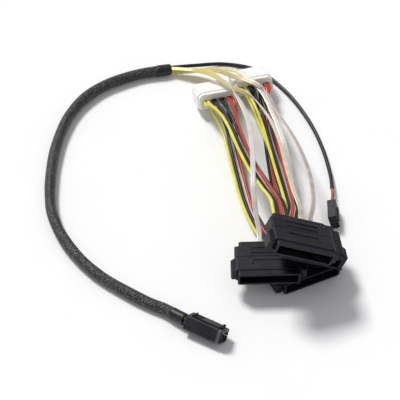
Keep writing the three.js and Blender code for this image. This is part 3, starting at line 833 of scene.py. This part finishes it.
# Each moulded finish's second colour serves its random mottling and its painted edge highlight or edge shade
CONNECTOR_BLACK = Moulded("connector_black", "101017", "33333f", 0.46, specular=0.3)
PLUG_RUN = PLUG.matrix()[:, 1]
PLUG_FRONT_MM = (float(PLUG_RUN @ (np.array(PLUG.at) + SHIFT)) - PLUG_REAR) / MM
NOSE_BAND = Band("5c5c64", tuple(map(float, PLUG_RUN)), PLUG_FRONT_MM + 0.9, PLUG_FRONT_MM + 3.0)
SHELL_BLACK = Moulded("shell_black", "16161c", "3a3a44", 0.4, edge_mm=0.35, specular=0.35,
                      band=NOSE_BAND)
LEVER_BLACK = Moulded("lever_black", "101014", "2c2c34", 0.42, edge_mm=0.15, specular=0.3)
NYLON = Moulded("milky_nylon", "f6f6f1", "e9e9e2", 0.32, 0.4, 0.006, 0.3, 0.5, 0.5)
# Braid colours: base, darker tone for mottling and painted groove shade, and the grey of the painted glint
BRAID_BLACK = Filament("braid_black", "101012", "020203", "6e6e72", 0.36, 1.38, 4, 26.0 / 12)
# Its second, lighter colour is the painted sheen on the raised wrinkles
SHRINK_BLACK = Sleeving("shrink_black", "09090b", "17171a", 0.44)
LEAD_BLACK = Insulation("lead_black", "0a0a0b", "131315", 0.42, 0.05)
WIRE_FINISHES = {
    Wire.YELLOW: Insulation("wire_yellow", "ebe254", "d6cc40", 0.34),
    Wire.BLACK_A: Insulation("wire_black", "0a0807", "15110e", 0.4, 0.06),
    Wire.RED: Insulation("wire_red", "c9432c", "a22f20", 0.34),
    Wire.BLACK_B: Insulation("wire_black_b", "0b0909", "161210", 0.4, 0.06),
}
COPPER_FINISHES = (
    Insulation("wire_brown", "a8612f", "804522", 0.4),
    Insulation("wire_orange", "dc8f52", "b86c34", 0.4),
    Insulation("wire_dark_red", "a04a30", "7c3220", 0.4),
)
JACKETS = (
    Jacket("jacket_lilac", "ebe8ef", "cfcad4", 0.12, 0.32),
    Jacket("jacket_cream", "ebe2cc", "d4c7ac", 0.12, 0.32),
    Jacket("jacket_rose", "d6c8c0", "b9a498", 0.18, 0.34),
    Jacket("jacket_white", "f5f3ea", "dcd8cc", 0.1, 0.3),
)
TINNED = Plated("tinned_pin", "e2d9c4", "b9a988", 0.24)
GOLD = Plated("gold_contact", "e0b85a", "c49a44", 0.26)
BOARD = Laminate("card_board", "24472f", "3f6b45", 0.4)


def finish_node(name: str, material: bpy.types.Material) -> None:
    """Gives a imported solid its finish.

    Args:
        name: The node.
        material: The finish.
    """
    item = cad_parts[name]
    if not item.material_slots:
        item.data.materials.append(material)
    for slot in item.material_slots:
        slot.material = material
    log.info("finish %s: %s", name, material.name)


def install(item: bpy.types.Object, material: bpy.types.Material, body: str, slot: str,
            *nodes: str) -> bpy.types.Object:
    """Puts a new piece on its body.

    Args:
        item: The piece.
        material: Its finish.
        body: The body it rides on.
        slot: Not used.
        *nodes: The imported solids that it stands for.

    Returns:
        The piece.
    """
    item.data.materials.append(material)
    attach(item, body)
    if nodes:
        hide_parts(*nodes)
    log.info("piece %s: %d faces", item.name, len(item.data.polygons))
    return item


@dataclass(frozen=True)
class TrunkSizes:
    """Sizes of the trunk in metres."""

    radius: float = 0.0033
    shrink_radius: float = 0.0036
    shrink_bore: float = 0.00315
    shrink_tuck: float = 0.0014
    strands: int = 12
    strand_width: float = 0.00138
    open_width: float = 0.00112
    open_length: float = 0.055
    turn_length: float = 0.0260
    weave: float = 0.00017
    step: float = 0.00045
    clearance: float = 0.0003
    straight: float = 0.0057
    inset: float = 0.0002
    pinch: float = 0.00042
    pinch_length: float = 0.0022
    sleeve_ripples: tuple[tuple[float, float, float], ...] = ((0.00006, 0.011, 0.0), (0.00005, 0.0043, 1.0))
    strip_across: tuple[float, ...] = (-0.5, -0.18, 0.18, 0.5)
    strip_crown: tuple[float, ...] = (0.0, 0.00011, 0.00011, 0.0)
    shrink_step: float = 0.0004
    shrink_around: int = 40
    shrink_lip: float = 0.07
    shrink_narrowing: float = 0.06
    shrink_ripples: tuple[tuple[float, float, float], ...] = ((0.012, 1 / 9, 0.0), (0.008, 1 / 23, 0.0))


def ripple(place: np.ndarray, waves: Sequence[tuple[float, float, float]]) -> np.ndarray:
    """Slow unevenness along a run.

    Args:
        place: Where along the run.
        waves: Height, length and phase of each wave.

    Returns:
        The sum of the waves at each place.
    """
    return sum(height * np.sin(place / length + phase) for height, length, phase in waves)


class Trunk:
    """The trunk: its middle line, the two shrunk tubes and the braided sleeve."""

    def __init__(self, sizes: TrunkSizes = TrunkSizes()) -> None:
        """Sets out the middle line.

        Args:
            sizes: The trunk's sizes.
        """
        self.sizes = sizes
        self.inside = PLUG.point(0, PLUG_REAR - PLUG_WALL, PLUG_MIDDLE)
        self.exit = PLUG.point(0, PLUG_REAR, PLUG_MIDDLE)
        self.shrink_start = np.array(PLUG_SHRINK_START)
        self.shrink_end = self.shrink_start + PLUG_SHRINK_LENGTH * self._heading(PLUG_SHRINK_HEADING)
        self.shrink_end[2] = PLUG_SHRINK_END_LEVEL
        away = unit(self.shrink_end - self.shrink_start)
        self.breakout_start = np.array(BREAKOUT_START)
        run = self._heading(BREAKOUT_HEADING)
        self.breakout_end = self.breakout_start + BREAKOUT_LENGTH * run
        self.sleeve = smooth([self.shrink_end + sizes.clearance * away, self.shrink_end + sizes.straight * away,
                              *TRUNK_ROUTE, self.breakout_start - sizes.clearance * run], SLEEVE_STEPS)

    @staticmethod
    def _heading(angle: float) -> np.ndarray:
        return np.array((math.cos(math.radians(angle)), math.sin(math.radians(angle)), 0.0))

    def through(self) -> Path3:
        """The middle line from inside the plug to the end of the breakout.

        Returns:
            Its stations.
        """
        return np.vstack((self.inside, self.exit, self.shrink_start, self.shrink_end, self.sleeve,
                          self.breakout_start, self.breakout_end))

    def beside(self, shift: float, lift: float) -> Path3:
        """The middle line moved sideways and up.

        Args:
            shift: Sideways, to the left of the run.
            lift: Upwards.

        Returns:
            Its stations.
        """
        line = self.through()
        run = np.gradient(line, axis=0)
        left = unit(np.column_stack((-run[:, 1], run[:, 0], np.zeros(len(line)))))
        return line + left * shift + np.array((0, 0, lift))

    def build(self) -> None:
        """Makes the shrunk tubes and the sleeve."""
        black = SHRINK_BLACK.build()
        self._shrink("shrink_at_plug", self.shrink_start, self.shrink_end, black, "trunk_plug_shrink", False)
        self._shrink("shrink_at_breakout", self.breakout_start, self.breakout_end, black,
                     "trunk_breakout_shrink", True)
        self._braid()

    def _shrink(self, name: str, start: np.ndarray, end: np.ndarray, material: bpy.types.Material,
                node: str, narrows: bool) -> None:
        sizes = self.sizes
        line = resample(np.array((start, end)), sizes.shrink_step)
        share = np.linspace(0, 1, len(line))
        lip = np.minimum(share, 1 - share) * len(line) / 3
        rounded = 1 - sizes.shrink_lip + sizes.shrink_lip * np.sqrt(np.clip(lip, 0, 1))
        outer = np.where(lip < 1, rounded, 1.0)
        swell = 1 + ripple(share, sizes.shrink_ripples)
        if narrows:
            swell = swell - sizes.shrink_narrowing * share**3
        section = circle(sizes.shrink_radius, sizes.shrink_around)
        tube = Sweep(line)
        item = tube.tube(name, section, outer * swell, True)
        inner = Sweep(line[::-1]).tube(name + "_bore", circle(sizes.shrink_bore, sizes.shrink_around), None, True)
        install(item, material, CABLE, "shrink_tube", node)
        install(inner, material, CABLE, "shrink_tube")

    def _braid(self) -> None:
        sizes = self.sizes
        away = unit(self.shrink_end - self.shrink_start)
        run = unit(self.breakout_end - self.breakout_start)
        line = np.vstack((self.shrink_end - sizes.shrink_tuck * away, self.sleeve,
                          self.breakout_start + sizes.shrink_tuck * run))
        line = resample(line, sizes.step)
        tube = Sweep(line)
        place = np.arange(len(line)) * measure(line) / (len(line) - 1)
        total = place[-1]
        ends = np.minimum(place, total - place)
        pinch = sizes.pinch * np.clip(1 - ends / sizes.pinch_length, 0, 1) ** 2
        radius = sizes.radius - sizes.inset - pinch + ripple(place, sizes.sleeve_ripples)
        opening = np.clip((place - (total - sizes.open_length)) / sizes.open_length, 0, 1)
        width = sizes.strand_width + (sizes.open_width - sizes.strand_width) * np.clip(opening * 2.2, 0, 1)
        lift = np.cos(2 * math.pi * sizes.strands * place / sizes.turn_length)
        across, crown = np.array(sizes.strip_across), np.array(sizes.strip_crown)
        points, faces, uv = [], [], []
        for hand in (1, -1):
            for strand in range(sizes.strands):
                angle = 2 * math.pi * (strand / sizes.strands + hand * place / sizes.turn_length)
                out = tube.side * np.cos(angle)[:, None] + tube.up * np.sin(angle)[:, None]
                centre = line + out * (radius + hand * sizes.weave * lift)[:, None]
                flat = unit(np.cross(headings(centre), out))
                rows = (centre[:, None, :] + flat[:, None, :] * (across[None, :] * width[:, None])[:, :, None]
                        + out[:, None, :] * crown[None, :, None])
                base = len(points) * len(line) * 4
                points.append(rows.reshape(-1, 3))
                i, j = np.meshgrid(np.arange(len(line) - 1), np.arange(3), indexing="ij")
                corner = base + i * 4 + j
                faces.append(np.stack((corner, corner + 1, corner + 5, corner + 4), axis=-1).reshape(-1, 4))
                left = (across[j] + 0.5) * sizes.strand_width
                right = (across[j + 1] + 0.5) * sizes.strand_width
                half_turn = 0.0 if hand > 0 else sizes.turn_length / sizes.strands / 2
                run_a, run_b = place[i] + half_turn, place[i + 1] + half_turn
                uv.append(np.stack((np.stack((left, right, right, left), axis=-1),
                                    np.stack((run_a, run_a, run_b, run_b), axis=-1)), axis=-1).reshape(-1, 2))
        item = make_mesh("braided_sleeve", np.vstack(points) + SHIFT, np.vstack(faces).tolist(),
                         np.vstack(uv))
        install(item, BRAID_BLACK.build(), CABLE, "braid", "trunk_sleeve")
        centre = line + SHIFT


@dataclass(frozen=True)
class RibbonSizes:
    """Sizes of the data ribbons and how they stack in the trunk, in metres."""

    width: float = 0.0030
    thickness: float = 0.0008
    gap: float = 0.00012
    count: int = 4
    sideband: float = 0.002
    sideband_gap: float = 0.00012
    trunk_step: float = 0.004
    fan_step: float = 0.0016
    outline_points: int = 14
    squareness: float = 3.2
    groove_depth: float = 0.42
    groove_width: float = 0.16

    def stack_half(self) -> float:
        """Half the height of the stack.

        Returns:
            Metres.
        """
        return (self.count * self.thickness + (self.count - 1) * self.gap) / 2

    def shifts(self) -> tuple[float, float]:
        """Where the ribbons and the sideband cable lie beside the trunk's middle.

        Returns:
            The ribbons' shift and the cable's shift.
        """
        fill = self.width + self.sideband_gap + self.sideband
        edge = (fill * fill - self.stack_half() ** 2) / (2 * fill)
        return self.width / 2 - edge, fill - edge - self.sideband / 2

    def section(self) -> np.ndarray:
        """Two soft lobes side by side, one for each pair.

        Returns:
            Points across and up.
        """
        across = -np.cos(np.linspace(0, math.pi, self.outline_points)) * self.width / 2
        share = across / (self.width / 2)
        groove = 1 - self.groove_depth * np.exp(-((share / self.groove_width) ** 2))
        high = self.thickness / 2 * np.sqrt(1 - np.abs(share) ** self.squareness) * groove
        top = np.column_stack((across, high))
        bottom = np.column_stack((across[::-1], -high[::-1]))[1:-1]
        return np.vstack((top, bottom))[::-1]


class DataRibbon:
    """One flat data cable, from the plug's cards to its drive connector."""

    def __init__(self, index: int, trunk: Trunk, sizes: RibbonSizes = RibbonSizes()) -> None:
        """Sets out the route.

        Args:
            index: Which ribbon, counted from the top of the stack.
            trunk: The trunk it runs through.
            sizes: The ribbon's sizes.
        """
        self.index = index
        self.sizes = sizes
        shift, _ = sizes.shifts()
        lift = sizes.stack_half() - sizes.thickness / 2 - index * (sizes.thickness + sizes.gap)
        inner = trunk.beside(shift, lift)
        drive = DRIVES[index]
        fan = smooth([inner[-1], *RIBBON_FAN[index], drive.point(RIBBON_AT, DRIVE_REAR + DRIVE_RUN, 0),
                      drive.point(RIBBON_AT, DRIVE_REAR - DRIVE_SEAT, 0)], FAN_STEPS)
        self.inner, self.fan, self.drive = inner, fan, drive

    def build(self) -> None:
        """Makes the ribbon."""
        inner = resample(self.inner, self.sizes.trunk_step)
        fan = resample(self.fan, self.sizes.fan_step)
        line = np.vstack((inner, fan[1:]))
        run = headings(inner)
        level = unit(np.column_stack((-run[:, 1], run[:, 0], np.zeros(len(inner)))))
        side = np.vstack((level, sides(fan, level[-1], self.drive.matrix()[:, 0])[1:]))
        item = Sweep(line, side).tube(f"data_cable_{self.index + 1}", self.sizes.section())
        install(item, JACKETS[self.index].build(), CABLE, "data_ribbon", f"data_ribbon_{self.index + 1}")


@dataclass(frozen=True)
class SidebandSizes:
    """Sizes of the sideband lead in metres."""

    radius: float = 0.001
    swell: float = 0.18
    swell_length: float = 0.02
    wire_radius: float = 0.00048
    ring: float = 0.0005
    seat: float = 0.0012
    step: float = 0.0025
    around: int = 20
    wire_around: int = 14
    wire_tuck: float = 0.001
    wire_straight: float = 0.0023
    wire_approach: float = 0.003


class Sideband:
    """The thin round lead and the three wires at its end."""

    def __init__(self, trunk: Trunk, sizes: SidebandSizes = SidebandSizes()) -> None:
        """Sets out the route.

        Args:
            trunk: The trunk it runs through.
            sizes: The lead's sizes.
        """
        self.sizes = sizes
        _, shift = RibbonSizes().shifts()
        inner = trunk.beside(shift, 0)
        self.hidden = measure(inner)
        self.line = np.vstack((inner[:-1], smooth([inner[-1], *SIDEBAND_FAN], LEAD_STEPS)))

    def build(self) -> None:
        """Makes the lead and its wires."""
        sizes = self.sizes
        line = resample(self.line, sizes.step)
        place = np.linspace(0, measure(line), len(line))
        swell = 1 + sizes.swell * np.clip((place - self.hidden) / sizes.swell_length, 0, 1)
        lead = Sweep(line).tube("sideband_lead", circle(sizes.radius, sizes.around), swell)
        install(lead, LEAD_BLACK.build(), CABLE, "lead_black", "sideband_cable")
        end = line[-1]
        away = unit(line[-1] - line[-2])
        for i, finish in enumerate(COPPER_FINISHES):
            angle = math.radians(90 + 120 * i)
            start = end + np.array((math.cos(angle), 0, math.sin(angle))) * sizes.ring
            x = (i - 1) * SIDE_PITCH
            path = smooth([start - sizes.wire_tuck * away, start + sizes.wire_straight * away,
                           SIDE_HOUSING.point(x, SIDE_REAR + sizes.wire_approach, 0),
                           SIDE_HOUSING.point(x, SIDE_REAR - sizes.seat, 0)], CORE_STEPS)
            section = circle(sizes.wire_radius, sizes.wire_around)
            wire = Sweep(path).tube(f"sideband_core_{i + 1}", section)
            install(wire, finish.build(), CABLE, "wire_copper", f"sideband_wire_{i + 1}")


class PowerRow:
    """The four power wires between a power housing and a drive connector."""

    radius = 0.00095
    around = 16

    def __init__(self, row: Row) -> None:
        """Keeps the row's route.

        Args:
            row: Its stations and ends.
        """
        self.row = row
        self.housing = POWERS[row.housing]
        self.drive = DRIVES[row.drive]

    def _station(self, station: tuple[float, ...], share: float, wire: Wire, index: int) -> np.ndarray:
        x, y, z, pitch, turn = station
        swell = math.sin(math.pi * share)
        ease = share * share * (3 - 2 * share)
        slot = wire.circuit + (index - wire.circuit) * ease
        across = (slot - 1.5) * pitch + wire.drift * swell
        rise = wire.rise * swell
        c, s = math.cos(math.radians(turn)), math.sin(math.radians(turn))
        return np.array((x + across * c - rise * s, y, z + across * s + rise * c))

    def path(self, wire: Wire, index: int) -> Path3:
        """The route of one wire.

        Args:
            wire: Which wire.
            index: Its place at the drive connector.

        Returns:
            Its stations.
        """
        x = (wire.circuit - 1.5) * POWER_PITCH + self.row.side * PAIR_PITCH / 2
        far = WIRE_START + index * WIRE_PITCH
        last = len(self.row.stations) - 1
        return smooth([
            self.housing.point(x, POWER_REAR + POWER_SEAT, 0), self.housing.point(x, POWER_REAR - DRIVE_RUN, 0),
            *(self._station(station, k / last, wire, index) for k, station in enumerate(self.row.stations)),
            self.drive.point(far, DRIVE_REAR + DRIVE_RUN, 0),
            self.drive.point(far, DRIVE_REAR - DRIVE_SEAT, 0),
        ], FAN_STEPS)

    def build(self, finishes: dict[Wire, bpy.types.Material]) -> None:
        """Makes the wires.

        Args:
            finishes: A finish for each wire.
        """
        for index, wire in enumerate(Wire):
            path = self.path(wire, index)
            name = f"power_lead_{self.row.drive + 1}_{wire.ending}"
            item = Sweep(path).tube(name, circle(self.radius, self.around))
            slot = "wire_black" if "black" in wire.ending else f"wire_{wire.ending}"
            install(item, finishes[wire], CABLE, slot, f"power_wire_{self.row.drive + 1}_{wire.ending}")


def box_rows(boxes: Sequence[tuple[float, ...]]) -> tuple[np.ndarray, list[list[int]]]:
    """Corners and faces of several boxes.

    Args:
        boxes: Low x, y, z and high x, y, z of each.

    Returns:
        The points and the faces.
    """
    points, faces = [], []
    for x0, y0, z0, x1, y1, z1 in boxes:
        base = len(points)
        points += [(x, y, z) for z in (z0, z1) for x, y in ((x0, y0), (x1, y0), (x1, y1), (x0, y1))]
        faces += [[base + i for i in face] for face in
                  ((3, 2, 1, 0), (4, 5, 6, 7), (0, 1, 5, 4), (1, 2, 6, 5), (2, 3, 7, 6), (3, 0, 4, 7))]
    return np.array(points), faces


@dataclass(frozen=True)
class ContactSizes:
    """Sizes of the contacts in a drive connector's mouth, in metres."""

    pitch: float = 0.00127
    edge: float = 0.0145
    rib_top: float = -0.0023
    width: float = 0.00042
    length: float = 0.0052
    front: float = -0.0104
    sunk: float = 0.0001
    proud: float = 0.00012
    power: int = 15
    signal: int = 7


class DriveConnector:
    """One drive connector: its two moulded solids and the gold contacts in its mouth."""

    def __init__(self, index: int, sizes: ContactSizes = ContactSizes()) -> None:
        """Names the connector.

        Args:
            index: Which connector.
            sizes: The contacts' sizes.
        """
        self.index = index
        self.sizes = sizes

    def build(self, black: bpy.types.Material, gold: bpy.types.Material) -> None:
        """Finishes the solids and adds the contacts.

        Args:
            black: The housing's finish.
            gold: The contacts' finish.
        """
        number = self.index + 1
        finish_node(f"drive_connector_{number}_housing", black)
        finish_node(f"drive_connector_{number}_cover", black)
        s = self.sizes
        places = ([-s.edge + i * s.pitch for i in range(s.power)]
                  + [s.edge - i * s.pitch for i in range(s.signal)])
        low, high = s.rib_top - s.sunk, s.rib_top + s.proud
        boxes = [(x - s.width / 2, s.front, low, x + s.width / 2, s.front + s.length, high) for x in places]
        points, faces = box_rows(boxes)
        item = make_mesh(f"drive_contacts_{number}", DRIVES[self.index].points(points), faces, None, False)
        install(item, gold, CABLE, "pin_brass")


class PowerConnector:
    """One power connector: the milky housing and its four pins."""

    def __init__(self, number: int) -> None:
        """Names the connector.

        Args:
            number: Counted from 1.
        """
        self.number = number

    def build(self, nylon: bpy.types.Material, tin: bpy.types.Material) -> None:
        """Finishes the solids.

        Args:
            nylon: The housing's finish.
            tin: The pins' finish.
        """
        finish_node(f"power_housing_{self.number}", nylon)
        for pin in range(1, 5):
            finish_node(f"power_pin_{self.number}_{pin}", tin)


class HeadPlug:
    """The high-density plug: shells, lever, cards and their gold fingers."""

    card_top = 0.0005
    card_level = 0.00135
    front = -0.00985
    fingers = 9
    finger_length = 0.0022
    finger_pitch = 0.00078
    finger_half = 0.00022
    finger_skin = 0.00003

    def build(self, gold: bpy.types.Material) -> None:
        """Finishes the solids and adds the fingers.

        Args:
            gold: The fingers' finish.
        """
        shell, lever, board = SHELL_BLACK.build(), LEVER_BLACK.build(), BOARD.build()
        for half in ("upper", "lower"):
            finish_node(f"hd_plug_{half}_shell", shell)
            finish_node(f"hd_plug_{half}_card", board)
        finish_node("hd_plug_latch", lever)
        boxes = []
        for side in (-1, 1):
            level = PLUG_MIDDLE + side * self.card_level
            for face in (-1, 1):
                z = level + face * self.card_top
                for i in range(self.fingers):
                    x = (i - (self.fingers - 1) / 2) * self.finger_pitch
                    boxes.append((x - self.finger_half, self.front, z - self.finger_skin, x + self.finger_half,
                                  self.front + self.finger_length, z + self.finger_skin))
        points, faces = box_rows(boxes)
        install(make_mesh("card_fingers", PLUG.points(points), faces, None, False), gold, CABLE, "pin_brass")


@dataclass(frozen=True)
class Light:
    """The room's light: one soft sun and an even sky."""

    sun: float = 2.5
    sun_spread: float = 17
    sun_height: float = 55
    sun_from: float = 132
    sky: float = 0.43
    sky_colour: str = "f8f9ff"


class Studio:
    """Camera, light and the white table."""

    lens = 209.7
    sensor = 36.0
    far = 20.0
    distance = 1.4
    height_angle = 45.0
    aim = Vector((float(SHIFT[0]), float(SHIFT[1]), 0.0))

    def __init__(self, light: Light = Light()) -> None:
        """Keeps the light.

        Args:
            light: Its settings.
        """
        self.light = light

    def camera(self) -> None:
        """Adds the photograph's camera."""
        scene = bpy.context.scene
        data = bpy.data.cameras.new("camera")
        data.lens = self.lens
        data.sensor_width = self.sensor
        data.clip_end = self.far
        item = bpy.data.objects.new("camera", data)
        angle = math.radians(self.height_angle)
        item.location = self.aim + Vector((0, -math.cos(angle), math.sin(angle))) * self.distance
        item.rotation_euler = (math.pi / 2 - angle, 0, 0)
        scene.collection.objects.link(item)
        scene.camera = item

    def lights(self) -> None:
        """Adds the sun and the sky."""
        scene = bpy.context.scene
        data = bpy.data.lights.new("window", "SUN")
        data.energy = self.light.sun
        data.angle = math.radians(self.light.sun_spread)
        item = bpy.data.objects.new("window", data)
        height, heading = math.radians(self.light.sun_height), math.radians(self.light.sun_from)
        towards = Vector((math.cos(heading) * math.cos(height), math.sin(heading) * math.cos(height),
                          math.sin(height)))
        item.rotation_euler = towards.to_track_quat("Z", "Y").to_euler()
        scene.collection.objects.link(item)
        world = bpy.data.worlds.new("room")
        world.use_nodes = True
        background = world.node_tree.nodes["Background"]
        background.inputs["Color"].default_value = linear(self.light.sky_colour)
        background.inputs["Strength"].default_value = self.light.sky
        scene.world = world
        scene.view_settings.view_transform = "Standard"

    def table(self) -> None:
        """Adds the white table."""
        half, level = 1.5, -0.0002
        points = np.array([(x * half, y * half, level) for x, y in ((-1, -1), (1, -1), (1, 1), (-1, 1))])
        item = make_mesh("table", points, [[0, 1, 2, 3]], None, False)
        shader = Shader("table_white", {"Specular IOR Level": 0.0, "Roughness": 1.0})
        cloudy = shader.ramp(shader.noise(shader.coordinates(False), 40, 2), 0.3, 0.7)
        shader.feed("Base Color", shader.blend(cloudy, linear("fbfbf9"), linear("f9f9f8")))
        item.data.materials.append(shader.material)

    def build(self) -> None:
        """Sets up the whole studio."""
        self.camera()
        self.lights()
        self.table()
        log.info("studio ready")


def main() -> None:
    """Builds the looks piece by piece."""
    Studio().build()
    trunk = Trunk()
    trunk.build()
    for index in range(len(DRIVES)):
        DataRibbon(index, trunk).build()
    Sideband(trunk).build()
    wires = {wire: finish.build() for wire, finish in WIRE_FINISHES.items()}
    for row in ROWS:
        PowerRow(row).build(wires)
    black, gold, tin, nylon = CONNECTOR_BLACK.build(), GOLD.build(), TINNED.build(), NYLON.build()
    for index in range(len(DRIVES)):
        DriveConnector(index).build(black, gold)
    for number in (1, 2):
        PowerConnector(number).build(nylon, tin)
    HeadPlug().build(gold)
    finish_node("sideband_housing", black)


if __name__ == "__main__":
    main()
